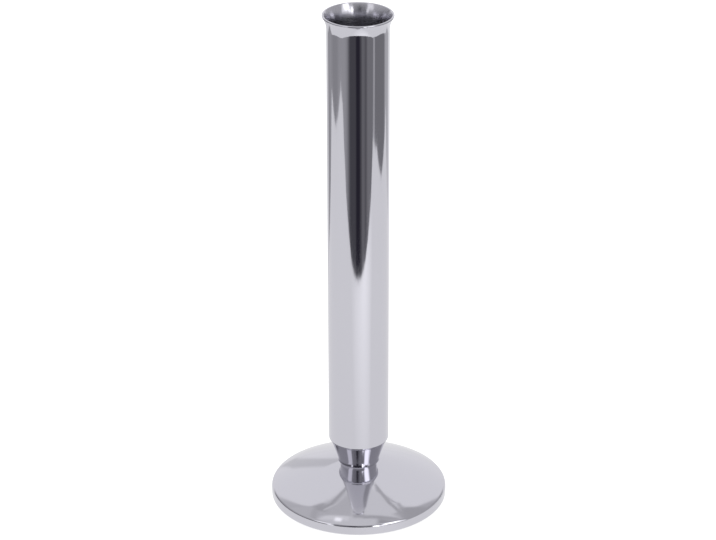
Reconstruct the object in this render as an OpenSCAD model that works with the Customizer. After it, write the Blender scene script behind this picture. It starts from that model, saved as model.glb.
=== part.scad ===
// Bud vase of polished stainless steel: a straight tube with a flared mouth on a short turned
// cone and a weighted, domed foot. One stud pulls the three together from inside the foot.
// The axis of the vase is Z and the table is at Z = 0. All lengths are in millimetres.

/* [Overall] */
// Height of the whole vase
total_h = 190; // [150:1:240]
// Height of the cone between the foot and the tube
neck_h = 8.8; // [6.5:0.1:16]

/* [Tube] */
// Outside diameter of the tube
tube_d = 22.2; // [21.4:0.1:24]
// Thickness of the tube's wall
tube_wall = 0.8; // [0.6:0.05:1]
// Outside diameter of the lip
mouth_d = 25.3; // [24.6:0.1:28]
// Height over which the mouth flares, up to the middle of its round lip
flare_h = 5.1; // [4:0.1:8]
// Height of the pressed cup that closes the tube
tube_cup_h = 2; // [1.8:0.1:6]
// Inside radius of the cup's corner
tube_bend_r = 0.4; // [0.2:0.05:0.8]

/* [Neck] */
// Width of the tube that stands out round the top of the cone
neck_inset = 0.8; // [0.5:0.1:1.5]
// Diameter of the cone just above its bead
neck_waist_d = 14.8; // [13:0.1:15]
// Diameter of the bead round the foot of the cone
neck_bead_d = 15.3; // [15.1:0.1:18]
// Radius of the bead's round edge
neck_bead_r = 0.6; // [0.4:0.05:0.9]
// Diameter of the spigot that centres the cone in the foot
neck_spigot_d = 10; // [8:0.5:11]
// Length of the spigot past the foot's shell
neck_spigot_past = 0.6; // [0.3:0.1:0.8]

/* [Foot] */
// Outside diameter of the foot
foot_d = 65; // [60:0.5:72]
// Radius of the dome's inner arc in the profile
dome_r = 156; // [140:1:180]
// Distance of that arc's centre beyond the axis
dome_offset = 37.2; // [32:0.1:42]
// Radius at which the dome starts to fall more steeply
fall_from_r = 25; // [22:0.5:27]
// Radius of the arc with which it falls
fall_r = 54; // [45:1:70]
// Height at which the upright rim turns over into the dome
rim_h = 3.3; // [2.8:0.1:5]
// Outside radius of the shoulder between the rim and the dome
shoulder_r = 1.5; // [1.5:0.1:3]
// Thickness of the pressed shell
shell_t = 0.8; // [0.6:0.05:0.9]
// Inside radius of the bend at the rim's lower edge
foot_bend_r = 0.2; // [0.1:0.05:0.4]
// Width of the lip turned in under the foot
foot_lip_w = 3.5; // [2.5:0.1:6]
// Thickness of the plate that closes the foot
base_plate_t = 0.8; // [0.6:0.1:1.5]
// Height of the turned-in lip above the table
foot_lift = 0.2; // [0.1:0.05:0.5]

/* [Stud, nut and washers] */
// Diameter of the stud
stud_d = 5; // [4:0.5:6]
// Length of stud that stands out below the nut
stud_tail = 0.5; // [0.2:0.1:0.7]
// Chamfer at the end of the stud
stud_chamfer = 0.4; // [0.2:0.1:0.6]
// Diameter of the flange by which the stud is welded on
stud_flange_d = 7; // [6.5:0.1:8]
// Thickness of that flange
stud_flange_t = 0.8; // [0.5:0.1:1.2]
// Width of the nut across its flats
nut_flats = 8; // [8:0.5:10]
// Height of the nut
nut_h = 4; // [3:0.1:4.5]
// Outside diameter of the split washer
spring_washer_d = 9.2; // [8.5:0.1:11]
// Thickness of the split washer
spring_washer_t = 1.2; // [0.8:0.1:1.4]
// Width of the split in that washer
spring_washer_split = 0.8; // [0.5:0.1:1.2]
// Outside diameter of the wide washer
clamp_washer_d = 15; // [13:0.5:18]
// Thickness of the wide washer
clamp_washer_t = 1.2; // [0.8:0.1:1.6]

/* [Clearances] */
// Gap round a piece that centres another
fit_gap = 0.05; // [0.03:0.01:0.1]
// Gap round the stud in the holes it passes
stud_gap = 0.25; // [0.2:0.05:0.5]
// Gap between the weight and the shell round it
weight_gap = 0.4; // [0.3:0.05:0.5]
// Gap round the edge of the base plate and of the pad
plate_gap = 0.3; // [0.2:0.05:0.4]
// Room round the wide washer in the weight
recess_gap = 1.5; // [1:0.1:3]
// Room under the end of the stud
stud_room = 0.3; // [0.2:0.1:0.6]

/* [Hidden] */

// Sides of a circle on the larger and on the smaller round forms
FINE = 180;
SMALL = 64;
// Length by which a cut runs past the face that it opens
CUT = 1;

polished_steel = "gainsboro";
plain_steel = "silver";
zinc_steel = "lightsteelblue";
cast_iron = "dimgray";
pad_black = "#26262a";

// Tube
tube_r = tube_d / 2;
tube_bore_r = tube_r - tube_wall;
tube_corner_r = tube_wall + tube_bend_r;
flare_w = (mouth_d - tube_d) / 2;
flare_r = (pow(flare_w, 2) + pow(flare_h, 2)) / (2 * flare_w);
flare_angle = 2 * atan(flare_w / flare_h);
flare_axis_r = tube_r - tube_wall / 2 + flare_r;
lip_axis_r = (mouth_d - tube_wall) / 2;
lip_z = total_h - tube_wall / 2;
flare_z = lip_z - flare_h;

// Foot. From the seat outwards its profile is the inner arc, the falling arc, the shoulder and
// the rim's upright side, and each touches the next.
foot_r = foot_d / 2;
fall_angle = asin((fall_from_r + dome_offset) / dome_r);
fall_axis_r = fall_from_r - fall_r * sin(fall_angle);
shoulder_axis_r = foot_r - shoulder_r;
shoulder_angle = asin((shoulder_axis_r - fall_axis_r) / (fall_r - shoulder_r));
fall_z = rim_h - (fall_r - shoulder_r) * cos(shoulder_angle);
dome_z = fall_z - (dome_r - fall_r) * cos(fall_angle);
foot_bore_r = foot_r - shell_t;
foot_edge_r = shell_t + foot_bend_r;
lip_top_z = foot_lift + shell_t;
plate_top_z = lip_top_z + base_plate_t;
lip_bore_r = foot_r - foot_lip_w;

// Flat seat that is pressed into the top of the dome under the cone. Its height is rounded down
// to a hundredth, so that it is a hair wider than the bead.
seat_r = neck_bead_d / 2;
seat_z = floor(100 * (dome_z + sqrt(pow(dome_r, 2) - pow(seat_r + dome_offset, 2)))) / 100;
seat_under_z = seat_z - shell_t;
seat_under_r = sqrt(pow(dome_r - shell_t, 2) - pow(seat_under_z - dome_z, 2)) - dome_offset;

// Neck
tube_z = seat_z + neck_h;
spigot_r = neck_spigot_d / 2;
spigot_end_z = seat_under_z - neck_spigot_past;
neck_top_r = tube_r - neck_inset;
cup_top_z = tube_z + tube_cup_h;

// Stud and what it clamps, from the closing plate upwards
stud_r = stud_d / 2;
stud_hole_r = stud_r + stud_gap;
flange_r = stud_flange_d / 2;
flange_z = tube_z - stud_flange_t;
stud_end_z = plate_top_z + stud_room;
nut_z = stud_end_z + stud_tail;
spring_washer_z = nut_z + nut_h;
clamp_washer_z = spring_washer_z + spring_washer_t;
recess_top_z = clamp_washer_z + clamp_washer_t;
recess_r = clamp_washer_d / 2 + recess_gap;

// Slice of a ring in the plane of a profile, from one angle to another, under 180 degrees apart
module bent_wall(outer_r, wall, from_angle, to_angle, sides = FINE) {
    reach = 2 * outer_r;
    middle = (from_angle + to_angle) / 2;
    intersection() {
        difference() {
            circle(r = outer_r, $fn = sides);
            circle(r = outer_r - wall, $fn = sides);
        }
        polygon([
            [0, 0],
            reach * [cos(from_angle), sin(from_angle)],
            reach * [cos(middle), sin(middle)],
            reach * [cos(to_angle), sin(to_angle)]
        ]);
    }
}

// Rectangle in the plane of a profile, between two radii and two heights
module band(r1, r2, z1, z2) {
    translate([r1, z1])
        square([r2 - r1, z2 - z1]);
}

// Flat ring or disc between two heights
module ring(outer_r, inner_r, z1, z2, sides = SMALL) {
    rotate_extrude($fn = sides)
        band(inner_r, outer_r, z1, z2);
}

// Drawn tube: a straight wall that is spun out into a mouth, with a round lip
module vase_tube() {
    color(polished_steel)
        rotate_extrude($fn = FINE) {
            band(tube_bore_r, tube_r, cup_top_z, flare_z);
            translate([flare_axis_r, flare_z])
                bent_wall(flare_r + tube_wall / 2, tube_wall, 180 - flare_angle, 180);
            translate([lip_axis_r, lip_z])
                circle(d = tube_wall, $fn = FINE);
        }
}

// Shallow pressed cup that is welded to the tube's lower end and polished flush with it
module tube_bottom() {
    color(polished_steel)
        rotate_extrude($fn = FINE) {
            band(0, tube_r - tube_corner_r, tube_z, tube_z + tube_wall);
            translate([tube_r - tube_corner_r, tube_z + tube_corner_r])
                bent_wall(tube_corner_r, tube_wall, -90, 0);
            band(tube_bore_r, tube_r, tube_z + tube_corner_r, cup_top_z);
        }
}

// Stud that is welded by its flange to the underside of the cup
module threaded_stud() {
    color(zinc_steel)
        rotate_extrude($fn = SMALL)
            polygon([
                [0, stud_end_z],
                [stud_r - stud_chamfer, stud_end_z],
                [stud_r, stud_end_z + stud_chamfer],
                [stud_r, flange_z],
                [flange_r, flange_z],
                [flange_r, tube_z],
                [0, tube_z]
            ]);
}

// Turned cone with a bead round its foot, a spigot into the shell and a hole for the stud
module neck_cone() {
    bead_axis_r = seat_r - neck_bead_r;
    bead_z = seat_z + neck_bead_r;
    color(polished_steel)
        rotate_extrude($fn = FINE)
            difference() {
                union() {
                    band(0, spigot_r, spigot_end_z, bead_z);
                    band(0, bead_axis_r, seat_z, bead_z);
                    translate([bead_axis_r, bead_z])
                        circle(r = neck_bead_r, $fn = FINE);
                    polygon([
                        [0, bead_z],
                        [neck_waist_d / 2, bead_z],
                        [neck_top_r, tube_z],
                        [0, tube_z]
                    ]);
                }
                band(0, stud_hole_r, spigot_end_z - CUT, tube_z + CUT);
                band(0, flange_r + stud_gap, flange_z - stud_gap, tube_z + CUT);
            }
}

// Half of the foot's profile, filled in from the axis and drawn in by an inset all round
module foot_outline(inset) {
    edge_z = foot_lift + foot_edge_r;
    fall_starts_r = fall_from_r - inset * sin(fall_angle);
    shoulder_starts_r = fall_axis_r + (fall_r - inset) * sin(shoulder_angle);
    intersection() {
        translate([-dome_offset, dome_z])
            circle(r = dome_r - inset, $fn = 4 * FINE);
        band(0, fall_starts_r, edge_z, seat_z - inset);
    }
    intersection() {
        translate([fall_axis_r, fall_z])
            circle(r = fall_r - inset, $fn = 2 * FINE);
        band(0, shoulder_starts_r, edge_z, seat_z - inset);
    }
    translate([shoulder_axis_r, rim_h])
        circle(r = shoulder_r - inset, $fn = FINE);
    band(0, foot_r - inset, edge_z, rim_h);
    if (foot_edge_r > inset) {
        translate([foot_r - foot_edge_r, edge_z])
            circle(r = foot_edge_r - inset, $fn = FINE);
        band(0, foot_r - foot_edge_r, foot_lift + inset, rim_h);
    }
}

// Pressed shell: flat seat, dome, shoulder, upright rim and turned-in lip
module foot_shell() {
    color(polished_steel)
        rotate_extrude($fn = FINE)
            difference() {
                foot_outline(0);
                foot_outline(shell_t);
                band(0, spigot_r + fit_gap, seat_under_z - CUT, seat_z + CUT);
                band(0, lip_bore_r, foot_lift - CUT, lip_top_z + CUT);
            }
}

// Cast weight that fills the shell, with a recess for the nut and a boss that meets the seat
module ballast_weight() {
    color(cast_iron)
        rotate_extrude($fn = FINE)
            difference() {
                union() {
                    foot_outline(shell_t + weight_gap);
                    band(0, seat_under_r - weight_gap, recess_top_z, seat_under_z);
                }
                band(0, foot_r, foot_lift - CUT, plate_top_z);
                band(0, recess_r, plate_top_z - CUT, recess_top_z);
                band(0, stud_hole_r, recess_top_z - CUT, seat_under_z + CUT);
                band(0, spigot_r + fit_gap, spigot_end_z - fit_gap, seat_under_z + CUT);
            }
}

// Wide washer that spreads the nut's pull over the weight
module clamp_washer() {
    color(zinc_steel)
        ring(clamp_washer_d / 2, stud_hole_r, clamp_washer_z, recess_top_z);
}

// Split washer, pressed flat by the nut, cut through at a slant
module spring_washer() {
    slant = 30;
    inner_r = stud_r + fit_gap;
    middle_z = spring_washer_z + spring_washer_t / 2;
    color(zinc_steel)
        difference() {
            ring(spring_washer_d / 2, inner_r, spring_washer_z, clamp_washer_z);
            translate([(spring_washer_d / 2 + inner_r) / 2, 0, middle_z])
                rotate([slant, 0, 0])
                    cube([spring_washer_d / 2, spring_washer_split, 4 * spring_washer_t], center = true);
        }
}

// Hexagon nut with the corners of both faces turned away
module hex_nut() {
    corner_r = nut_flats / 2 / cos(30);
    face_r = nut_flats / 2;
    turned = (corner_r - face_r) * tan(30);
    color(zinc_steel)
        difference() {
            intersection() {
                translate([0, 0, nut_z])
                    cylinder(r = corner_r, h = nut_h, $fn = 6);
                rotate_extrude($fn = SMALL)
                    polygon([
                        [0, nut_z],
                        [face_r, nut_z],
                        [corner_r, nut_z + turned],
                        [corner_r, spring_washer_z - turned],
                        [face_r, spring_washer_z],
                        [0, spring_washer_z]
                    ]);
            }
            ring(stud_r + fit_gap, 0, nut_z - CUT, spring_washer_z + CUT);
        }
}

// Plate that lies on the turned-in lip and closes the foot
module base_plate() {
    color(plain_steel)
        ring(foot_bore_r - plate_gap, 0, lip_top_z, plate_top_z, FINE);
}

// Soft pad under the plate, inside the lip, on which the vase stands
module base_pad() {
    color(pad_black)
        ring(lip_bore_r - plate_gap, 0, 0, lip_top_z, FINE);
}

vase_tube();
tube_bottom();
threaded_stud();
neck_cone();
foot_shell();
ballast_weight();
clamp_washer();
spring_washer();
hex_nut();
base_plate();
base_pad();
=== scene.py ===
"""A bud vase of polished stainless steel, dressed for a picture on a sheet of white paper.

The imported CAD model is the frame. Every visible piece of steel is turned again here as a fine
surface with true normals, because a mirror finish shows each facet. The stud gets its thread, and
the other pieces that are shut in under the foot keep their CAD solids and get their own finishes.
All profiles are in millimetres, as rows of (distance from the axis, height above the table).
"""
import logging
import math
from abc import ABC, abstractmethod
from dataclasses import dataclass, field
from enum import Enum
from typing import Any, Sequence

import bpy
import numpy as np
from mathutils import Matrix, Vector
from numpy.typing import NDArray


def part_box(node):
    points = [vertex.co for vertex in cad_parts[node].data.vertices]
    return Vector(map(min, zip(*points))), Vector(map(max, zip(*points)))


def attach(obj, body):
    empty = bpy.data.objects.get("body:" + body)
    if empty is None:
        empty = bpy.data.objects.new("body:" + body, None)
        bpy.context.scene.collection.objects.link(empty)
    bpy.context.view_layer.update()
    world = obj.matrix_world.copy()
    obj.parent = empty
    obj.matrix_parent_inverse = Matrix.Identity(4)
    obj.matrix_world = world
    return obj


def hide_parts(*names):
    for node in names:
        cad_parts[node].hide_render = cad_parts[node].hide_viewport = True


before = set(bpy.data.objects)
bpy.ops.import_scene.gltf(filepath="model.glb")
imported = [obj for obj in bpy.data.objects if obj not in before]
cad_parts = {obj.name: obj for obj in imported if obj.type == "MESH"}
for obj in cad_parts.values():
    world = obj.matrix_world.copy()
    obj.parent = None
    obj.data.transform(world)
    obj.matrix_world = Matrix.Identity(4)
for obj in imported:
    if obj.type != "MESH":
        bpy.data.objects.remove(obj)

log = logging.getLogger("bud_vase")

MM = 0.001
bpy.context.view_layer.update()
SAME_POINT = 1e-6  # points that are closer than this, in millimetres, are one
NOISE_LOW, NOISE_HIGH = 0.3, 0.7  # nearly all of a noise texture lies between these
WHITE = (1.0, 1.0, 1.0, 1.0)
INSIDE = 1  # number of the material inside tube and cup
NUMBER_A, NUMBER_B, COLOUR_A, COLOUR_B = 2, 3, 6, 7  # inputs of a Mix node, by data type

Rows = NDArray[np.float64]
Piece = bpy.types.Object
Material = bpy.types.Material
Tree = bpy.types.NodeTree
Node = bpy.types.Node
Socket = bpy.types.NodeSocket


class Slot(Enum):
    """Material slots of the record that the pieces made here take."""

    POLISHED = "polished_steel"
    ZINC = "zinc_steel"


class Grain(Enum):
    """The way that the fine lines of the last polish run."""

    ROUND_THE_AXIS = "round"
    ALONG_THE_AXIS = "along"


def linear(code: str) -> tuple[float, float, float, float]:
    """Turns an sRGB hex colour into the linear colour that a shader takes.

    Args:
        code: Six hex digits, as in "cbcad2".

    Returns:
        Red, green, blue and an alpha of 1, linear.
    """
    srgb = np.array([int(code[i : i + 2], 16) for i in (0, 2, 4)]) / 255
    low = srgb / 12.92
    high = ((srgb + 0.055) / 1.055) ** 2.4
    return (*np.where(srgb <= 0.04045, low, high).tolist(), 1.0)


def add(tree: Tree, kind: str, inputs: dict[Any, Any] | None = None, **settings: Any) -> Node:
    """Adds a node with its settings, and sets or links its inputs.

    Args:
        tree: The node tree that takes the node.
        kind: The node's type after "ShaderNode", such as "Math".
        inputs: For each input, by name or number, a value, a source socket, or a source node
            whose first output is meant.
        settings: Properties of the node, such as operation="ADD".

    Returns:
        The new node.
    """
    node = tree.nodes.new("ShaderNode" + kind)
    for key, value in settings.items():
        setattr(node, key, value)
    for key, value in (inputs or {}).items():
        source = value.outputs[0] if isinstance(value, Node) else value
        if isinstance(source, Socket):
            tree.links.new(source, node.inputs[key])
        else:
            node.inputs[key].default_value = source
    return node


def blank_tree(block: Material | bpy.types.World) -> Tree:
    """Returns the emptied node tree of a material or a world."""
    block.use_nodes = True
    block.node_tree.nodes.clear()
    return block.node_tree


def scene_object(name: str, data: bpy.types.ID) -> Piece:
    """Makes an object of a mesh, a lamp or a camera and puts it in the scene, at the origin."""
    thing = bpy.data.objects.new(name, data)
    bpy.context.scene.collection.objects.link(thing)
    return thing


@dataclass(frozen=True)
class Stretch:
    """One line or arc of a profile, with the normals that point out of the material.

    Attributes:
        points: Rows of (distance from the axis, height).
        normals: Rows of the same count, each of length 1.
        finish: Number of the material on this stretch.
    """

    points: Rows
    normals: Rows
    finish: int = 0


def line(start: tuple[float, float], end: tuple[float, float], finish: int = 0) -> Stretch:
    """A straight stretch, with the material on its left, so that its normal points right."""
    ends = np.array([start, end], float)
    along = (ends[1] - ends[0]) / np.linalg.norm(ends[1] - ends[0])
    return Stretch(ends, np.tile((along[1], -along[0]), (2, 1)), finish)


def lines(*corners: tuple[float, float]) -> list[Stretch]:
    """Straight stretches from corner to corner."""
    return [line(start, end) for start, end in zip(corners, corners[1:])]


def arc(centre: tuple[float, float], radius: float, start: float, end: float,
        step: float = 3.0, finish: int = 0) -> Stretch:
    """A round stretch: centre plus radius times (cos a, sin a), with the angle a in even steps.

    Args:
        centre: Centre of the circle.
        radius: Radius of the circle.
        start: First angle in degrees, counted from straight outwards to straight up.
        end: Last angle. A growing angle makes a round edge and a falling one a hollow.
        step: About how many degrees lie between two points.
        finish: Number of the material.

    Returns:
        The stretch.
    """
    count = max(3, round(abs(end - start) / step) + 1)
    angle = np.radians(np.linspace(start, end, count))
    rays = np.column_stack((np.cos(angle), np.sin(angle)))
    return Stretch(np.array(centre) + radius * rays, rays if end > start else -rays, finish)


def join(*stretches: Stretch) -> list[Stretch]:
    """Puts stretches in a row, and a straight one between two that don't meet."""
    row: list[Stretch] = []
    for stretch in stretches:
        if row and np.linalg.norm(row[-1].points[-1] - stretch.points[0]) > SAME_POINT:
            last, first = row[-1].points[-1], stretch.points[0]
            row.append(line(tuple(last), tuple(first), stretch.finish))
        row.append(stretch)
    return row


def revolve(name: str, outline: Sequence[Stretch], turns: int = 288) -> Piece:
    """Turns a profile about Z, as (r cos t, r sin t, z) for each profile point and angle t.

    A face's corners take the normals of its own stretch, so a tangent joint is smooth and a
    corner is crisp. A profile that starts and ends on the axis is closed there by triangles, and
    any other profile is closed into a ring.

    Args:
        name: Name of the new object.
        outline: The profile's stretches, with the material on the left of their direction.
        turns: How many steps go once round.

    Returns:
        The new object, at the origin.
    """
    on_axis = outline[0].points[0, 0] == 0
    rows = [s.points[:-1] for s in outline] + [outline[-1].points[-1:]] * on_axis
    points = np.concatenate(rows)
    starts = np.concatenate([s.normals[:-1] for s in outline])
    ends = np.concatenate([s.normals[1:] for s in outline])
    finish = np.concatenate([np.full(len(s.points) - 1, s.finish) for s in outline])
    angle = np.linspace(0, 2 * np.pi, turns, endpoint=False)
    rays = np.column_stack((np.cos(angle), np.sin(angle)))

    def turned(rows: Rows) -> Rows:
        """Each row of (r, z) at every angle, as an array of rows by angles by three."""
        flat = rows[:, :1, None] * rays
        height = np.broadcast_to(rows[:, 1, None, None], flat.shape[:2] + (1,))
        return np.concatenate((flat, height), 2)

    width = np.where(points[:, 0] == 0, 1, turns)
    first = np.concatenate(([0], np.cumsum(width)))[:-1]
    index = first[:, None] + np.arange(turns) * (width[:, None] > 1)
    places = turned(points)
    vertices = np.concatenate([places[i, : width[i]] for i in range(len(points))])
    lower = np.arange(len(starts))
    upper = (lower + 1) % len(points)
    left, right = np.arange(turns), (np.arange(turns) + 1) % turns
    corners = np.stack((index[lower][:, left], index[lower][:, right],
                        index[upper][:, right], index[upper][:, left]), 2)
    from_start, from_end = turned(starts), turned(ends)
    normals = np.stack((from_start[:, left], from_start[:, right],
                        from_end[:, right], from_end[:, left]), 2)
    keep = np.ones((len(starts), 4), bool)
    keep[width[lower] == 1, 0] = False
    keep[width[upper] == 1, 3] = False
    keep = np.broadcast_to(keep[:, None], corners.shape)
    sizes = keep.sum(2).ravel()
    mesh = bpy.data.meshes.new(name)
    mesh.vertices.add(len(vertices))
    mesh.vertices.foreach_set("co", (vertices * MM).astype(np.float32).ravel())
    mesh.loops.add(int(sizes.sum()))
    mesh.loops.foreach_set("vertex_index", corners[keep].astype(np.int32))
    mesh.polygons.add(len(sizes))
    loop_starts = np.concatenate(([0], np.cumsum(sizes)[:-1]))
    mesh.polygons.foreach_set("loop_start", loop_starts.astype(np.int32))
    mesh.polygons.foreach_set("material_index", np.repeat(finish, turns).astype(np.int32))
    mesh.update(calc_edges=True)
    mesh.validate()
    mesh.polygons.foreach_set("use_smooth", np.ones(len(sizes), bool))
    mesh.normals_split_custom_set(normals[keep])
    return scene_object(name, mesh)


def place(piece: Piece, node: str, materials: Sequence[Material]) -> None:
    """Dresses a piece, puts it in the place of a CAD node and reports it."""
    for material in materials:
        piece.data.materials.append(material)
    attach(piece, "root")
    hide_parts(node)
    log.info("%s stands for %s with %d faces", piece.name, node, len(piece.data.polygons))


def top_mm(node: str) -> float:
    """Height of a CAD node's highest point."""
    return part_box(node)[1].z / MM


def bottom_mm(node: str) -> float:
    """Height of a CAD node's lowest point."""
    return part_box(node)[0].z / MM


def radius_mm(node: str) -> float:
    """Largest distance of a CAD node from the axis."""
    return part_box(node)[1].x / MM


def per_metre(size_mm: float) -> float:
    """How often a pattern of a size in millimetres goes into a metre."""
    return 1 / (size_mm * MM)


class Finish(ABC):
    """A finish of a piece, as a material of nodes on the piece's own coordinates."""

    name: str

    def material(self) -> Material:
        """Builds the material."""
        material = bpy.data.materials.new(self.name)
        tree = blank_tree(material)
        place_node = add(tree, "TexCoord")
        shader = self.shader(tree, place_node.outputs["Object"])
        add(tree, "OutputMaterial", {"Surface": shader})
        return material

    @abstractmethod
    def shader(self, tree: Tree, at: Socket) -> Node:
        """Adds the nodes of the finish.

        Args:
            tree: The material's node tree.
            at: A point's place on the piece, in metres.

        Returns:
            The shader.
        """


@dataclass(frozen=True)
class PolishedSteel(Finish):
    """Stainless steel, ground and then buffed to a mirror.

    It gives a clear reflection with a faint violet-grey cast. The buffing wheel leaves a slow
    waviness that bends reflections a little, and the last compound leaves hair-fine lines. Where
    a tool has spun the surface, its rings draw each reflection out across them.

    Attributes:
        name: Name of the material.
        grain: The way of the fine lines.
        colour: The steel's colour, as sRGB hex.
        smoothest: Roughness between the lines.
        roughest: Roughness on the lines.
        line_mm: Distance between lines, coarser than that of real hair lines so that it shows.
        line_depth_mm: Depth of the lines.
        line_reach: How much longer than wide a line along the axis is.
        line_count: Steps of the pattern a radian, for lines along the axis.
        ring_count: The same for lines round the axis.
        wave_mm: Size of a wave.
        wave_depth_mm: Depth of the waves.
        wave_reach: How much longer a wave is along the axis than round it.
        spread: How far rings of tool marks draw a reflection out along the axis, from 0 to 1.
        spread_turn: Turn of that spread from the rings' direction, as a share of a full turn.
    """

    name: str
    grain: Grain
    colour: str = "cbcad2"
    smoothest: float = 0.04
    roughest: float = 0.09
    line_mm: float = 0.5
    line_depth_mm: float = 0.00002
    line_reach: float = 60.0
    line_count: float = 60.0
    ring_count: float = 3.0
    wave_mm: float = 7.0
    wave_depth_mm: float = 0.002
    wave_reach: float = 1.0
    spread: float = 0.0
    spread_turn: float = 0.25

    def shader(self, tree: Tree, at: Socket) -> Node:
        """Lines in roughness and height, over slow waves.

        The lines are noise on the unit vector away from the axis and on a height. For rings, the
        height is the radius less z, so that they run round the axis on flat faces as well.
        """
        flat = add(tree, "VectorMath", {0: at, 1: (1, 1, 0)}, operation="MULTIPLY")
        ray = add(tree, "VectorMath", {0: flat}, operation="NORMALIZE")
        radius = add(tree, "VectorMath", {0: flat}, operation="LENGTH")
        parts = add(tree, "SeparateXYZ", {0: at})
        across = add(tree, "Math", {0: radius.outputs["Value"], 1: parts.outputs["Z"]},
                     operation="SUBTRACT")
        if self.grain is Grain.ROUND_THE_AXIS:
            count, step, height = self.ring_count, self.line_mm, across
        else:
            count, height = self.line_count, parts.outputs["Z"]
            step = self.line_mm * self.line_reach
        around = add(tree, "VectorMath", {0: ray, "Scale": count}, operation="SCALE")
        steps = add(tree, "Math", {0: height, 1: per_metre(step)}, operation="MULTIPLY")
        lift = add(tree, "CombineXYZ", {"Z": steps})
        on_lines = add(tree, "VectorMath", {0: around, 1: lift}, operation="ADD")
        lines = add(tree, "TexNoise",
                    {"Vector": on_lines, "Scale": 1.0, "Detail": 3.0, "Roughness": 0.6})
        drawn_out = add(tree, "VectorMath", {0: at, 1: (1, 1, 1 / self.wave_reach)},
                        operation="MULTIPLY")
        waves = add(tree, "TexNoise",
                    {"Vector": drawn_out, "Scale": per_metre(self.wave_mm), "Detail": 1.0})
        dull = add(tree, "MapRange",
                   {"Value": lines, "From Min": NOISE_LOW, "From Max": NOISE_HIGH,
                    "To Min": self.smoothest, "To Max": self.roughest})
        low = add(tree, "Bump",
                  {"Strength": 1.0, "Distance": self.wave_depth_mm * MM, "Height": waves})
        fine = add(tree, "Bump",
                   {"Strength": 1.0, "Distance": self.line_depth_mm * MM,
                    "Height": lines, "Normal": low})
        look = {"Base Color": linear(self.colour), "Metallic": 1.0, "Roughness": dull,
                "Normal": fine}
        if self.spread:
            rings = add(tree, "Tangent", direction_type="RADIAL", axis="Z")
            look |= {"Tangent": rings, "Anisotropic": self.spread,
                     "Anisotropic Rotation": self.spread_turn}
        return add(tree, "BsdfPrincipled", look)


@dataclass(frozen=True)
class Grained(Finish):
    """A finish whose colour, roughness and height follow a grain.

    Attributes:
        name: Name of the material.
        low: Colour where the tint is 0, as sRGB hex.
        high: Colour where the tint is 1.
        roughness: Roughness where the grain is low and where it is high.
        metallic: Share of metal.
        depth_mm: Depth of the grain.
    """

    name: str
    low: str
    high: str
    roughness: tuple[float, float]
    metallic: float
    depth_mm: float

    @abstractmethod
    def grain(self, tree: Tree, at: Socket) -> tuple[Node, Node]:
        """Adds the nodes of the tint and the grain, which both run from 0 to 1.

        Args:
            tree: The material's node tree.
            at: A point's place on the piece, in metres.

        Returns:
            The tint and the grain.
        """

    def shader(self, tree: Tree, at: Socket) -> Node:
        """Lays colour, roughness and height on the grain, as Finish.shader says."""
        tint, grain = self.grain(tree, at)
        colour = add(tree, "Mix",
                     {0: tint, COLOUR_A: linear(self.low), COLOUR_B: linear(self.high)},
                     data_type="RGBA")
        dull = add(tree, "MapRange",
                   {"Value": grain, "From Min": NOISE_LOW, "From Max": NOISE_HIGH,
                    "To Min": self.roughness[0], "To Max": self.roughness[1]})
        bump = add(tree, "Bump", {"Strength": 1.0, "Distance": self.depth_mm * MM, "Height": grain})
        return add(tree, "BsdfPrincipled",
                   {"Base Color": colour.outputs[2], "Metallic": self.metallic,
                    "Roughness": dull, "Normal": bump})


@dataclass(frozen=True)
class RoughCastIron(Grained):
    """Grey cast iron with the skin that a sand mould leaves.

    It is nearly black and dull, with a sandy grain and rust-brown specks in its hollows.
    """

    name: str = "grey_iron_sand_cast"
    low: str = "2e2724"
    high: str = "3f3f41"
    roughness: tuple[float, float] = (0.85, 0.6)
    metallic: float = 0.8
    depth_mm: float = 0.12
    sand_mm: float = 0.7

    def grain(self, tree: Tree, at: Socket) -> tuple[Node, Node]:
        """Grains of sand, which tint and roughen the skin alike."""
        sand = add(tree, "TexNoise",
                   {"Vector": at, "Scale": per_metre(self.sand_mm), "Detail": 4.0,
                    "Roughness": 0.65})
        return sand, sand


@dataclass(frozen=True)
class ZincPlate(Grained):
    """Steel with a bright zinc plate, passivated clear.

    It is a satin blue-grey that drifts to a faint straw yellow where the passivation is thicker.
    """

    name: str = "steel_zinc_plated"
    low: str = "b3b9c3"
    high: str = "c3bfaf"
    roughness: tuple[float, float] = (0.26, 0.42)
    metallic: float = 1.0
    depth_mm: float = 0.002
    cloud_mm: float = 2.5
    cloud_edges: tuple[float, float] = (0.45, 0.7)
    straw_share: float = 0.7
    fleck_mm: float = 0.15

    def grain(self, tree: Tree, at: Socket) -> tuple[Node, Node]:
        """Clouds of the thicker passivation as the tint, and fine flecks as the grain."""
        clouds, flecks = (add(tree, "TexNoise",
                              {"Vector": at, "Scale": per_metre(size), "Detail": 2.0})
                          for size in (self.cloud_mm, self.fleck_mm))
        drift = add(tree, "MapRange",
                    {"Value": clouds, "From Min": self.cloud_edges[0],
                     "From Max": self.cloud_edges[1], "To Min": 0.0, "To Max": self.straw_share})
        return drift, flecks


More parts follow.
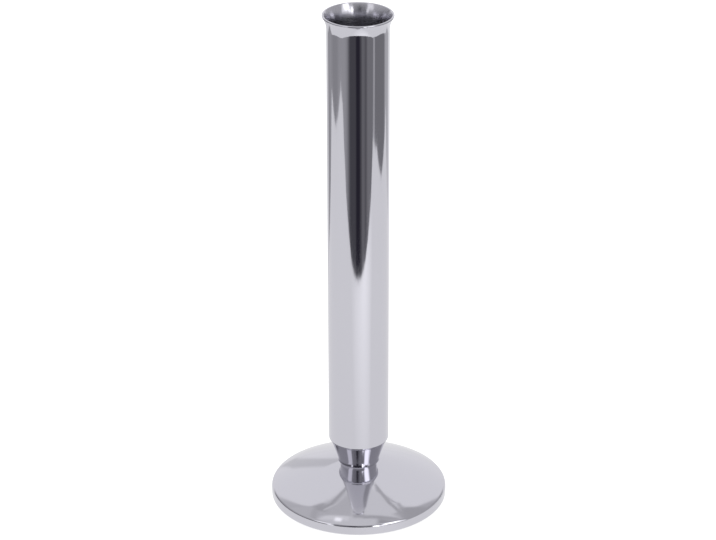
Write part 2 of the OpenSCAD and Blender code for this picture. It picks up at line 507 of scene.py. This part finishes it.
@dataclass(frozen=True)
class RolledSteel(Grained):
    """Stainless sheet as it leaves the cold rolls.

    It is a soft grey that mirrors only vaguely, with long fine lines in the direction of rolling.
    """

    name: str = "steel_sheet_cold_rolled"
    low: str = "a9a8a6"
    high: str = "bdbcba"
    roughness: tuple[float, float] = (0.28, 0.45)
    metallic: float = 1.0
    depth_mm: float = 0.0015
    line_mm: float = 0.12
    line_reach: float = 60.0

    def grain(self, tree: Tree, at: Socket) -> tuple[Node, Node]:
        """Lines along X, many times as long as they are wide."""
        drawn = add(tree, "Mapping", {"Vector": at, "Scale": (1 / self.line_reach, 1, 1)})
        lines = add(tree, "TexNoise",
                    {"Vector": drawn, "Scale": per_metre(self.line_mm), "Detail": 3.0})
        return lines, lines


@dataclass(frozen=True)
class FoamedRubber(Grained):
    """Black cellular rubber, split from a block, so that its open cells show.

    It is matt and soft-looking, with fine pits, which painted shade makes darker than the walls
    between them.
    """

    name: str = "rubber_foamed_split"
    low: str = "141517"
    high: str = "2a2b2e"
    roughness: tuple[float, float] = (0.9, 0.9)
    metallic: float = 0.0
    depth_mm: float = 0.1
    cell_mm: float = 0.45
    cell_edges: tuple[float, float] = (0.2, 0.6)

    def grain(self, tree: Tree, at: Socket) -> tuple[Node, Node]:
        """Walls between open cells, as the distance from a cell's middle; as the tint, it paints
        shade into the pits.
        """
        cells = add(tree, "TexVoronoi", {"Vector": at, "Scale": per_metre(self.cell_mm)})
        walls = add(tree, "MapRange",
                    {"Value": cells.outputs["Distance"], "From Min": self.cell_edges[0],
                     "From Max": self.cell_edges[1], "To Min": 0.0, "To Max": 1.0},
                    interpolation_type="SMOOTHSTEP")
        # The sunken pits take the darker colour: painted shade.
        return walls, walls


@dataclass
class Tube:
    """The drawn tube with its flared mouth, and the pressed cup that closes it below.

    Attributes:
        wall: Thickness of the sheet.
        flare_height: Height of the flare below its lip.
        cup_bend: Inner radius of the cup's corner.
        seam: Height at which the cup meets the tube.
    """

    wall: float = 0.8
    flare_height: float = 5.1
    cup_bend: float = 0.4
    bottom: float = bottom_mm("tube_bottom")
    seam: float = top_mm("tube_bottom")
    top: float = top_mm("vase_tube")
    radius: float = radius_mm("tube_bottom")
    lip_radius: float = radius_mm("vase_tube")

    def barrel(self) -> Piece:
        """The straight wall, the flare as two arcs about one centre, and a round lip."""
        half = self.wall / 2
        width = self.lip_radius - self.radius
        flare = (width**2 + self.flare_height**2) / (2 * width)
        lean = math.degrees(2 * math.atan(width / self.flare_height))
        lip = (self.lip_radius - half, self.top - half)
        start = lip[1] - self.flare_height
        centre = (self.radius - half + flare, start)
        bore = self.radius - self.wall
        outline = join(
            arc(centre, flare - half, 180, 180 - lean, 1.5),
            arc(lip, half, -lean, 180 - lean, 6),
            arc(centre, flare + half, 180 - lean, 180, 1.5, INSIDE),
            line((bore, start), (bore, self.seam), INSIDE),
            *lines((bore, self.seam), (self.radius, self.seam), (self.radius, start)),
        )
        return revolve("tube_barrel", outline)

    def cup(self) -> Piece:
        """The pressed bottom: two flat discs, joined by a round corner and the rim."""
        corner = self.wall + self.cup_bend
        centre = (self.radius - corner, self.bottom + corner)
        bore, floor = self.radius - self.wall, self.bottom + self.wall
        outline = join(
            line((0, self.bottom), (centre[0], self.bottom)),
            arc(centre, corner, -90, 0, 4),
            *lines((self.radius, centre[1]), (self.radius, self.seam), (bore, self.seam)),
            line((bore, self.seam), (bore, centre[1]), INSIDE),
            arc(centre, self.cup_bend, 0, -90, 6, INSIDE),
            line((centre[0], floor), (0, floor), INSIDE),
        )
        return revolve("tube_cup", outline)

    def build(self) -> None:
        """Builds and dresses both pieces."""
        outside = PolishedSteel("steel_tube_buffed_lengthwise", Grain.ALONG_THE_AXIS, wave_mm=2.0,
                                wave_depth_mm=0.02, wave_reach=40.0).material()
        inside = PolishedSteel("steel_tube_spun_bore", Grain.ROUND_THE_AXIS, smoothest=0.17,
                               roughest=0.23, spread=0.95).material()
        place(self.barrel(), "vase_tube", (outside, inside))
        place(self.cup(), "tube_bottom", (outside, inside))


@dataclass
class Neck:
    """The turned cone between the tube and the foot, which runs out nearly upright below.

    Attributes:
        foot_radius: Radius where the cone stands on the foot.
        edge_round: Radius of its lowest edge.
        hollow_round: Radius of the hollow above that edge.
        foot_lean: Degrees from upright at which edge and hollow touch.
        spigot_radius: Radius of the spigot that enters the foot.
        stud_hole_radius: Radius of the hole for the stud.
        flange_hole_radius: Radius of the recess for the stud's flange.
        flange_room: Depth of that recess.
    """

    foot_radius: float = 7.65
    edge_round: float = 0.2
    hollow_round: float = 7.0
    foot_lean: float = 3.0
    spigot_radius: float = 5.0
    stud_hole_radius: float = 2.75
    flange_hole_radius: float = 3.75
    flange_room: float = 1.05
    seat: float = top_mm("foot_shell")
    top: float = top_mm("neck_cone")
    spigot_end: float = bottom_mm("neck_cone")
    top_radius: float = radius_mm("neck_cone")

    def cone(self) -> Piece:
        """Edge round, hollow and straight cone touch in turn, above a spigot with two bores.

        The hollow's centre lies in line with the edge round's, at the foot's lean. The cone's own
        lean is the one at which its line passes that centre at a distance of the hollow's radius.
        """
        centre = (self.foot_radius - self.edge_round, self.seat + self.edge_round)
        start = math.radians(self.foot_lean)
        reach = self.edge_round + self.hollow_round
        hollow = (centre[0] + reach * math.cos(start), centre[1] - reach * math.sin(start))
        right, down = hollow[0] - self.top_radius, self.top - hollow[1]
        lean = math.atan2(down, right) - math.acos(self.hollow_round / math.hypot(right, down))
        recess = self.top - self.flange_room
        cone_foot = (hollow[0] - self.hollow_round * math.cos(lean),
                     hollow[1] + self.hollow_round * math.sin(lean))
        outline = join(
            arc(centre, self.edge_round, -90, -self.foot_lean, 10),
            arc(hollow, self.hollow_round, 180 - self.foot_lean, 180 - math.degrees(lean), 0.8),
            *lines(cone_foot, (self.top_radius, self.top), (self.flange_hole_radius, self.top),
                   (self.flange_hole_radius, recess), (self.stud_hole_radius, recess),
                   (self.stud_hole_radius, self.spigot_end), (self.spigot_radius, self.spigot_end),
                   (self.spigot_radius, self.seat), (centre[0], self.seat)),
        )
        return revolve("neck_cone_turned", outline)

    def build(self) -> None:
        """Builds and dresses the cone."""
        steel = PolishedSteel("steel_cone_turned_and_buffed", Grain.ROUND_THE_AXIS).material()
        place(self.cone(), "neck_cone", (steel,))


@dataclass
class Foot:
    """The pressed shell of the foot: seat, dome, shoulder, upright rim and turned-in lip.

    Attributes:
        wall: Thickness of the sheet.
        dome_radius: Radius of the shallow inner arc.
        dome_offset: How far that arc's centre lies beyond the axis.
        fall_from: Distance from the axis at which the falling arc starts.
        fall_radius: Radius of the falling arc.
        rim_height: Height of the upright rim's upper end.
        shoulder: Radius of the round between dome and rim.
        lower_bend: Inner radius of the bend into the lip.
        lip_width: Width of the turned-in lip.
        spigot_hole_radius: Radius of the hole for the cone's spigot.
    """

    wall: float = 0.8
    dome_radius: float = 156.0
    dome_offset: float = 37.2
    fall_from: float = 25.0
    fall_radius: float = 54.0
    rim_height: float = 3.3
    shoulder: float = 1.5
    lower_bend: float = 0.2
    lip_width: float = 3.5
    spigot_hole_radius: float = 5.05
    bottom: float = bottom_mm("foot_shell")
    top: float = top_mm("foot_shell")
    radius: float = radius_mm("foot_shell")

    def shell(self) -> Piece:
        """Inner arc, falling arc, shoulder and upright rim touch in turn, outside and inside."""
        slope = math.asin((self.fall_from + self.dome_offset) / self.dome_radius)
        fall_axis = self.fall_from - self.fall_radius * math.sin(slope)
        axis = self.radius - self.shoulder
        reach = self.fall_radius - self.shoulder
        steepest = math.asin((axis - fall_axis) / reach)
        fall = (fall_axis, self.rim_height - reach * math.cos(steepest))
        dome = (-self.dome_offset,
                fall[1] - (self.dome_radius - self.fall_radius) * math.cos(slope))
        turn, change = 90 - math.degrees(steepest), 90 - math.degrees(slope)
        edge = self.wall + self.lower_bend
        corner = (self.radius - edge, self.bottom + edge)
        under = self.top - self.wall
        lip = (self.radius - self.lip_width, self.bottom + self.wall)
        inner_radius = self.dome_radius - self.wall
        seat_angle = math.asin((self.top - dome[1]) / self.dome_radius)
        under_angle = math.asin((under - dome[1]) / inner_radius)
        outline = join(
            arc((axis, self.rim_height), self.shoulder, 0, turn, 2),
            arc(fall, self.fall_radius, turn, change, 0.5),
            arc(dome, self.dome_radius, change, math.degrees(seat_angle), 0.4),
            *lines((dome[0] + self.dome_radius * math.cos(seat_angle), self.top),
                   (self.spigot_hole_radius, self.top), (self.spigot_hole_radius, under),
                   (dome[0] + inner_radius * math.cos(under_angle), under)),
            arc(dome, inner_radius, math.degrees(under_angle), change, 0.8),
            arc(fall, self.fall_radius - self.wall, change, turn, 1),
            arc((axis, self.rim_height), self.shoulder - self.wall, turn, 0, 6),
            arc(corner, self.lower_bend, 0, -90, 15),
            *lines((corner[0], lip[1]), lip, (lip[0], self.bottom), (corner[0], self.bottom)),
            arc(corner, edge, -90, 0, 4),
            line((self.radius, corner[1]), (self.radius, self.rim_height)),
        )
        return revolve("foot_shell_pressed", outline, turns=384)

    def build(self) -> None:
        """Builds and dresses the shell."""
        steel = PolishedSteel("steel_foot_buffed_round", Grain.ROUND_THE_AXIS,
                              wave_mm=12.0).material()
        place(self.shell(), "foot_shell", (steel,))


@dataclass
class Stud:
    """The stud that is welded under the tube, with the thread that is rolled into it.

    Attributes:
        radius: Radius of the thread's crest.
        pitch: Height of one turn of the thread.
        depth: Depth of its groove.
        root_flat: Share of half a turn's height that is flat at the root.
        crest_flat: Share of half a turn's height that is flat at the crest.
        run_out: Height over which the groove runs out below the flange.
        chamfer: Width of the chamfer at the tip.
        flange_thickness: Thickness of the welded flange.
        crease: Angle in degrees from which an edge is crisp.
    """

    radius: float = 2.5
    pitch: float = 0.8
    depth: float = 0.49
    root_flat: float = 0.25
    crest_flat: float = 0.125
    run_out: float = 1.6
    chamfer: float = 0.4
    flange_thickness: float = 0.8
    crease: float = 35.0
    turns: int = 72
    rows_a_pitch: int = 12
    bottom: float = bottom_mm("threaded_stud")
    top: float = top_mm("threaded_stud")
    flange_radius: float = radius_mm("threaded_stud")

    def skin(self) -> Rows:
        """Radius over height and turn: the crest's radius less the groove's depth at that place.

        A place's phase is its height in pitches less its share of a turn, and its distance from
        the middle of the groove, from 0 to 1, gives root flat, straight flank and crest flat. The
        groove runs out below the flange, and the tip is chamfered.

        Returns:
            Points as an array of heights by turns by three.
        """
        seat = self.top - self.flange_thickness
        steps = np.arange(self.bottom, seat, self.pitch / self.rows_a_pitch)
        height = np.append(steps, seat)[:, None]
        share = np.linspace(0, 1, self.turns, endpoint=False)
        from_root = np.abs((height / self.pitch - share) % 1 * 2 - 1)
        flank = np.clip((from_root - self.root_flat) / (1 - self.crest_flat - self.root_flat), 0, 1)
        cut = np.clip((seat - height) / self.run_out, 0, 1)
        radius = self.radius - self.depth * (1 - flank) * cut
        radius = np.minimum(radius, self.radius - self.chamfer + height - self.bottom)
        radius = np.concatenate((radius, np.full((2, self.turns), self.flange_radius)))
        height = np.broadcast_to(np.concatenate((height, [[seat], [self.top]])), radius.shape)
        angle = 2 * np.pi * share
        return np.stack((radius * np.cos(angle), radius * np.sin(angle), height), 2)

    def body(self) -> Piece:
        """Skins the grid with four-sided faces and closes both ends with fans of triangles."""
        grid = self.skin()
        rows = len(grid)
        index = np.arange(rows * self.turns).reshape(rows, self.turns)
        after = np.roll(index, -1, 1)
        sides = np.stack((index[:-1], after[:-1], after[1:], index[1:]), 2).reshape(-1, 4)
        tip, end = index.size, index.size + 1
        fans = np.concatenate((np.stack((np.full(self.turns, tip), after[0], index[0]), 1),
                               np.stack((np.full(self.turns, end), index[-1], after[-1]), 1)))
        points = np.concatenate((grid.reshape(-1, 3), [(0, 0, self.bottom), (0, 0, self.top)]))
        mesh = bpy.data.meshes.new("stud_with_thread")
        mesh.from_pydata((points * MM).tolist(), [], sides.tolist() + fans.tolist())
        mesh.polygons.foreach_set("use_smooth", np.ones(len(mesh.polygons), bool))
        mesh.set_sharp_from_angle(angle=math.radians(self.crease))
        return scene_object(mesh.name, mesh)

    def build(self) -> None:
        """Builds and dresses the stud."""
        steel = ZincPlate("steel_stud_zinc_plated", cloud_mm=4.0).material()
        place(self.body(), "threaded_stud", (steel,))


@dataclass
class ShutInPieces:
    """The other pieces that are shut in under the foot, which keep their CAD solids."""

    finishes: dict[str, Finish] = field(
        default_factory=lambda: {
            "ballast_weight": RoughCastIron(),
            "clamp_washer": ZincPlate("steel_clamp_washer_zinc_plated"),
            "spring_washer": ZincPlate("spring_steel_zinc_plated", low="a9aeb8"),
            "hex_nut": ZincPlate("steel_nut_zinc_plated"),
            "base_plate": RolledSteel(),
            "base_pad": FoamedRubber(),
        })

    def build(self) -> None:
        """Gives each solid its finish in every material slot."""
        for node, finish in self.finishes.items():
            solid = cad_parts[node]
            material = finish.material()
            if not solid.material_slots:
                solid.data.materials.append(material)
            for slot in solid.material_slots:
                slot.material = material
            log.info("%s is dressed in %s", node, finish.name)


class Space(Enum):
    """The two kinds of coordinates in which the room's surfaces are placed."""

    ROUND = "azimuth and elevation in degrees"
    CEILING = "steps to the right and to the back for each step up"


@dataclass(frozen=True)
class Surface:
    """One surface of the room that the steel mirrors, as a soft-edged rectangle of one tone.

    Azimuths are in degrees from the direction of the camera, and grow to its right.

    Attributes:
        name: What it is in the room.
        centre: Its middle.
        size: Its width and height.
        blur: Width of its soft edges, as shares of half its width and half its height.
        tone: Its brightness, where white paper is 1.
        turn: Its turn against the clock, in degrees.
        space: The coordinates of its centre and size.
    """

    name: str
    centre: tuple[float, float]
    size: tuple[float, float]
    blur: tuple[float, float]
    tone: float
    turn: float = 0.0
    space: Space = Space.ROUND

    def paint(self, tree: Tree, place_vector: Node, under: Node | float) -> Node:
        """Lays the surface over what is under it.

        Args:
            tree: The world's node tree.
            place_vector: The place of a direction in this surface's coordinates.
            under: The tone so far.

        Returns:
            The tone with this surface over it.
        """
        half = (self.size[0] / 2, self.size[1] / 2, 1.0)
        own = add(tree, "Mapping",
                  {"Vector": place_vector, "Location": (*self.centre, 0.0),
                   "Rotation": (0.0, 0.0, math.radians(self.turn)), "Scale": half},
                  vector_type="TEXTURE")
        away = add(tree, "VectorMath", {0: own}, operation="ABSOLUTE")
        inner = tuple(1 - blur / 2 for blur in self.blur) + (1.0,)
        outer = tuple(1 + blur / 2 for blur in self.blur) + (2.0,)
        # Inputs 7 to 10 are From Min, From Max, To Min and To Max for vectors.
        edges = add(tree, "MapRange",
                    {"Vector": away, 7: inner, 8: outer, 9: (1.0,) * 3, 10: (0.0,) * 3},
                    data_type="FLOAT_VECTOR", interpolation_type="SMOOTHSTEP")
        both = add(tree, "SeparateXYZ", {0: edges.outputs["Vector"]})
        cover = add(tree, "Math", {0: both.outputs["X"], 1: both.outputs["Y"]},
                    operation="MULTIPLY")
        return add(tree, "Mix", {0: cover, NUMBER_A: under, NUMBER_B: self.tone},
                   data_type="FLOAT", label=self.name)


# Each surface lies over those before it.
ROOM = (
    Surface("table", (0, -45), (400, 90), (0.01, 0.13), 0.24),
    Surface("table_back_left", (-166, -45), (56, 90), (0.5, 0.13), 0.81),
    Surface("table_back_right", (164, -45), (56, 90), (0.5, 0.13), 0.96),
    Surface("table_right_end", (125, -45), (26, 90), (0.9, 0.13), 0.57),
    Surface("table_left", (-87, -45), (94, 90), (0.42, 0.13), 0.42),
    Surface("table_left_middle", (-94, -45), (32, 90), (1.2, 0.13), 0.35),
    Surface("table_front", (-10, -45), (48, 90), (0.6, 0.13), 0.08),
    Surface("dark_edge", (-1, -45), (14, 90), (1.1, 0.13), 0.025),
    Surface("light_edge", (19, -45), (6, 90), (1.3, 0.13), 0.19),
    Surface("table_shade", (27, -45), (10, 90), (2, 0.13), 0.13),
    Surface("window_gleam", (59, -45), (6, 90), (1.3, 0.13), 0.5),
    Surface("ceiling", (0, -0.8), (6, 2.34), (0.02, 0.04), 0.81, space=Space.CEILING),
    Surface("panel_left", (-0.4, 0.22), (0.68, 0.27), (0.2, 0.4), 0.66, -4, space=Space.CEILING),
    Surface("panel_corner", (-0.48, 0.27), (0.26, 0.2), (0.8, 0.8), 0.54, space=Space.CEILING),
    Surface("panel_edge", (-0.32, 0.3), (0.44, 0.04), (0.12, 1.0), 0.53, 26, space=Space.CEILING),
    Surface("panel_joint", (-0.25, 0.285), (0.28, 0.025), (0.2, 1.2), 0.77, 22,
            space=Space.CEILING),
    Surface("tube_light", (-0.3, 0.08), (0.4, 0.07), (0.2, 1.1), 0.92, -16, space=Space.CEILING),
    Surface("panel_right", (0.23, 0.235), (0.34, 0.27), (0.24, 0.3), 0.85, space=Space.CEILING),
    Surface("beam_back", (0.3, 0.39), (0.2, 0.022), (0.3, 1.2), 0.6, space=Space.CEILING),
    Surface("beam_right", (0.365, 0.305), (0.4, 0.05), (0.16, 1.0), 0.56, -42, space=Space.CEILING),
    Surface("beam_outer", (0.5, 0.27), (0.3, 0.05), (0.33, 2), 0.62, -56, space=Space.CEILING),
    Surface("beam_across", (0.26, 0.07), (0.44, 0.05), (0.14, 1.2), 0.56, 6, space=Space.CEILING),
    Surface("ceiling_right", (0.36, -0.08), (0.3, 0.26), (0.5, 0.6), 0.5, space=Space.CEILING),
    Surface("vent", (0, 0.065), (0.12, 0.06), (0.7, 1.3), 0.57, space=Space.CEILING),
    Surface("spot", (-0.225, 0.03), (0.08, 0.055), (0.9, 1.3), 1.45, -20, space=Space.CEILING),
    Surface("wall_left_back", (-121, 38.5), (20, 62), (0.25, 0.25), 0.66, -26.6),
    Surface("wall_left", (-92, 28), (66, 68), (0.12, 0.2), 0.52),
    Surface("wall_left_high", (-92, 47), (66, 26), (0.12, 0.5), 0.68),
    Surface("wall_front", (2, 21), (124, 54), (0.13, 0.3), 0.36),
    Surface("doorway", (-9, 12), (26, 40), (0.8, 0.25), 0.17),
    Surface("door_frame", (-18, 16), (7, 44), (1.2, 0.5), 0.32),
    Surface("door_gap", (-7, 12), (8, 40), (1.2, 0.25), 0.05),
    Surface("far_floor", (0, -1), (266, 28), (0.1, 0.5), 0.18),
    Surface("far_floor_front", (-3, 0), (56, 30), (0.6, 0.5), 0.05),
    Surface("far_back_left", (-166, -5), (56, 14), (0.4, 0.5), 0.95),
    Surface("far_back_right", (166, -5), (56, 14), (0.4, 0.5), 0.95),
    Surface("paper_left", (-40, -11), (24, 6), (0.8, 0.8), 1.0),
    Surface("desk_lamp", (22, 14), (8, 26), (0.9, 0.3), 3.6),
    Surface("desk_lamp_right", (31, 13), (8, 11), (0.9, 0.9), 2.4),
    Surface("window_left", (-48, 32), (23, 30), (0.7, 0.5), 1.2),
    Surface("wall_right_back", (120.8, 36.2), (20, 62), (0.25, 0.25), 0.6, 30),
    Surface("wall_right", (93, 29), (62, 66), (0.12, 0.25), 0.52),
    Surface("window_side", (56, 21), (12, 28), (0.8, 0.6), 1.3),
    Surface("lamp_left", (-35, 10), (8, 16), (0.9, 0.9), 1.6),
    Surface("window_right", (45.5, 33.5), (21.5, 38), (0.9, 0.5), 2.5, -24),
    Surface("stand", (-162.2, 12.5), (4.4, 42), (0.9, 0.15), 0.76, -12),
)


@dataclass
class Studio:
    """The white paper, the room round it, the lamps and the camera.

    Attributes:
        eye: Place of the camera, in metres.
        pitch: Its tilt up from straight down, in radians.
        roll: Its turn about its line of sight, in radians.
        lens: Its focal length, in millimetres.
        clip: Nearest and farthest distance that it sees, in metres.
        sheet: Corners of the sheet of paper that the steel mirrors.
        sheet_near: Painted tone of the sheet in front of the vase, as sheet_far is behind it; the
            change between them is painted shade.
        sheet_change: From where to where, front to back, one tone turns into the other.
        sheen: Tone that the painted light thrown by the tube adds where it is strongest.
        sheen_lean: Its lean to the right, as x for each y towards the front.
        sheen_spread: Lean from its middle to its edge.
        sheen_reach: Distance in front of the vase at which it is strongest.
        floor_tone: Share of light that the floor gives back, with floor_glow added to it.
        backdrop: Tone of the room where none of its surfaces lies.
        veil: Colour that is added to all that the steel mirrors.
        low_cut: Least height of a direction that has a place on the ceiling.
    """

    eye: tuple[float, float, float] = (-0.00014, -0.89520, 0.51984)
    pitch: float = 1.12503
    roll: float = -0.0014
    lens: float = 138.30
    sensor: float = 36.0
    clip: tuple[float, float] = (0.01, 100.0)
    sheet: tuple[tuple[float, float], ...] = (
        (-390, -180), (-345, -215), (-190, -213), (-90, -203), (5, -206), (210, -199), (295, -210),
        (330, -115), (312, 18), (345, 200), (-395, 145), (-375, -8))
    sheet_near: float = 0.95
    sheet_far: float = 0.93
    sheet_change: tuple[float, float] = (-100, 150)
    sheen: float = 0.36
    sheen_lean: float = 0.38
    sheen_spread: float = 0.9
    sheen_reach: float = 215
    floor_reach: float = 20000
    floor_tone: float = 0.5
    floor_glow: float = 0.7
    backdrop: float = 0.965
    veil: tuple[float, float, float] = (0.002, 0.0, 0.011)
    low_cut: float = 0.001
    softbox_place: tuple[float, float, float] = (-0.2, -0.2, 1.2)
    softbox_size: float = 0.8
    softbox_power: float = 6.0

    def camera(self) -> None:
        """Puts the camera where the photograph was taken from, level but for a slight roll."""
        data = bpy.data.cameras.new("camera")
        data.sensor_width = self.sensor
        data.lens = self.lens
        data.clip_start, data.clip_end = self.clip
        camera = scene_object("camera", data)
        camera.matrix_world = (Matrix.Translation(self.eye) @ Matrix.Rotation(self.pitch, 4, "X")
                               @ Matrix.Rotation(self.roll, 4, "Z"))
        bpy.context.scene.camera = camera

    def plane(self, name: str, corners: Sequence[Sequence[float]], material: Material) -> Piece:
        """A flat face of the stage through corners in millimetres."""
        mesh = bpy.data.meshes.new(name)
        places = (np.array(corners, float) * MM).tolist()
        mesh.from_pydata(places, [], [tuple(range(len(corners)))])
        mesh.materials.append(material)
        face = scene_object(name, mesh)
        return face

    def paper(self) -> Material:
        """White paper that glows in painted tones: a little darker behind the vase as painted
        shade, with a painted pool of the light thrown by the tube.

        The painted light is a soft fan from the tube's foot to the front right. A place in it is x
        / y, its lean to the side, and y, and its tone falls from the far end of the fan, with the
        distance counted in spreads and reaches.
        """
        material = bpy.data.materials.new("white_paper")
        tree = blank_tree(material)
        place_node = add(tree, "TexCoord")
        parts = add(tree, "SeparateXYZ", {0: place_node.outputs["Object"]})
        # Painted shade: the sheet's glow falls from front to back.
        change = [edge * MM for edge in self.sheet_change]
        tone = add(tree, "MapRange",
                   {"Value": parts.outputs["Y"], "From Min": change[0], "From Max": change[1],
                    "To Min": self.sheet_near, "To Max": self.sheet_far})
        # Painted light: a soft fan of the light that the tube throws, added to the glow.
        lean = add(tree, "Math", {0: parts.outputs["X"], 1: parts.outputs["Y"]}, operation="DIVIDE")
        fan = add(tree, "CombineXYZ", {"X": lean, "Y": parts.outputs["Y"]})
        reach = self.sheen_reach * MM
        own = add(tree, "Mapping",
                  {"Vector": fan, "Location": (-self.sheen_lean, -reach, 0.0),
                   "Scale": (self.sheen_spread, reach, 1.0)}, vector_type="TEXTURE")
        away = add(tree, "VectorMath", {0: own}, operation="LENGTH")
        sheen = add(tree, "MapRange",
                    {"Value": away.outputs["Value"], "From Min": 0.0, "From Max": 1.0,
                     "To Min": self.sheen, "To Max": 0.0})
        both = add(tree, "Math", {0: tone, 1: sheen}, operation="ADD")
        # The sheet is no lamp; it glows with these painted tones.
        light = add(tree, "Emission", {"Color": WHITE, "Strength": both})
        add(tree, "OutputMaterial", {"Surface": light})
        return material

    def floor(self) -> None:
        """The white floor that the camera sees, and the sheet on it that the steel mirrors."""
        material = bpy.data.materials.new("white_floor")
        tree = blank_tree(material)
        path = add(tree, "LightPath")
        tone = (*[self.floor_tone] * 3, 1.0)
        paper = add(tree, "BsdfDiffuse", {"Color": tone})
        glow = add(tree, "Emission", {"Color": WHITE, "Strength": self.floor_glow})
        both = add(tree, "AddShader", {0: paper, 1: glow})
        seen = add(tree, "MixShader", {0: path.outputs["Is Camera Ray"], 1: paper, 2: both})
        add(tree, "OutputMaterial", {"Surface": seen})
        far = self.floor_reach
        corners = ((-far, -far, 0), (far, -far, 0), (far, far, 0), (-far, far, 0))
        floor = self.plane("floor", corners, material)
        floor.visible_glossy = False
        sheet = self.plane("paper_sheet", [(*corner, 0) for corner in self.sheet], self.paper())
        sheet.visible_camera = sheet.visible_diffuse = sheet.visible_shadow = False

    def world(self) -> None:
        """The room: white to the camera, plain to matt surfaces, and in its tones to steel."""
        world = bpy.data.worlds.new("room")
        bpy.context.scene.world = world
        tree = blank_tree(world)
        path = add(tree, "LightPath")
        direction = add(tree, "TexCoord").outputs["Generated"]
        parts = add(tree, "SeparateXYZ", {0: direction})
        toward = add(tree, "Math", {0: parts.outputs["Y"], 1: -1.0}, operation="MULTIPLY")
        turn = add(tree, "Math", {0: parts.outputs["X"], 1: toward}, operation="ARCTAN2")
        lift = add(tree, "Math", {0: parts.outputs["Z"]}, operation="ARCSINE")
        angles = add(tree, "CombineXYZ", {"X": turn, "Y": lift})
        degrees = add(tree, "VectorMath", {0: angles, "Scale": math.degrees(1)}, operation="SCALE")
        up = add(tree, "Math", {0: parts.outputs["Z"], 1: self.low_cut}, operation="MAXIMUM")
        steps = add(tree, "Math", {0: 1.0, 1: up}, operation="DIVIDE")
        overhead = add(tree, "VectorMath", {0: direction, "Scale": steps}, operation="SCALE")
        places = {Space.ROUND: degrees, Space.CEILING: overhead}
        level = self.backdrop
        for surface in ROOM:
            level = surface.paint(tree, places[surface.space], level)
        greys = add(tree, "CombineXYZ", dict.fromkeys("XYZ", level))
        room = add(tree, "VectorMath", {0: greys, 1: self.veil}, operation="ADD")
        first = add(tree, "Math", {0: path.outputs["Diffuse Depth"], 1: 0.5}, operation="LESS_THAN")
        mirrored = add(tree, "Math", {0: path.outputs["Is Glossy Ray"], 1: first},
                       operation="MULTIPLY")
        tone = add(tree, "Mix", {0: mirrored, COLOUR_A: WHITE, COLOUR_B: room}, data_type="RGBA")
        light = add(tree, "Background", {"Color": tone.outputs[2], "Strength": 1.0})
        add(tree, "OutputWorld", {"Surface": light})

    def soft_light(self) -> None:
        """One large soft lamp above, which draws the faint shadow under the foot."""
        data = bpy.data.lights.new("overhead_softbox", "AREA")
        data.shape = "DISK"
        data.size = self.softbox_size
        data.energy = self.softbox_power
        lamp = scene_object("overhead_softbox", data)
        lamp.location = self.softbox_place
        lamp.rotation_euler = (-Vector(self.softbox_place)).to_track_quat("-Z", "Y").to_euler()
        lamp.visible_glossy = False

    def build(self) -> None:
        """Builds the stage and sets the plain view transform."""
        self.camera()
        self.floor()
        self.world()
        self.soft_light()
        bpy.context.scene.view_settings.view_transform = "Standard"


def main() -> None:
    """Builds the studio and the vase, piece by piece."""
    logging.basicConfig(level=logging.INFO, format="%(message)s")
    Studio().build()
    Tube().build()
    Neck().build()
    Foot().build()
    Stud().build()
    ShutInPieces().build()


if __name__ == "__main__":
    main()
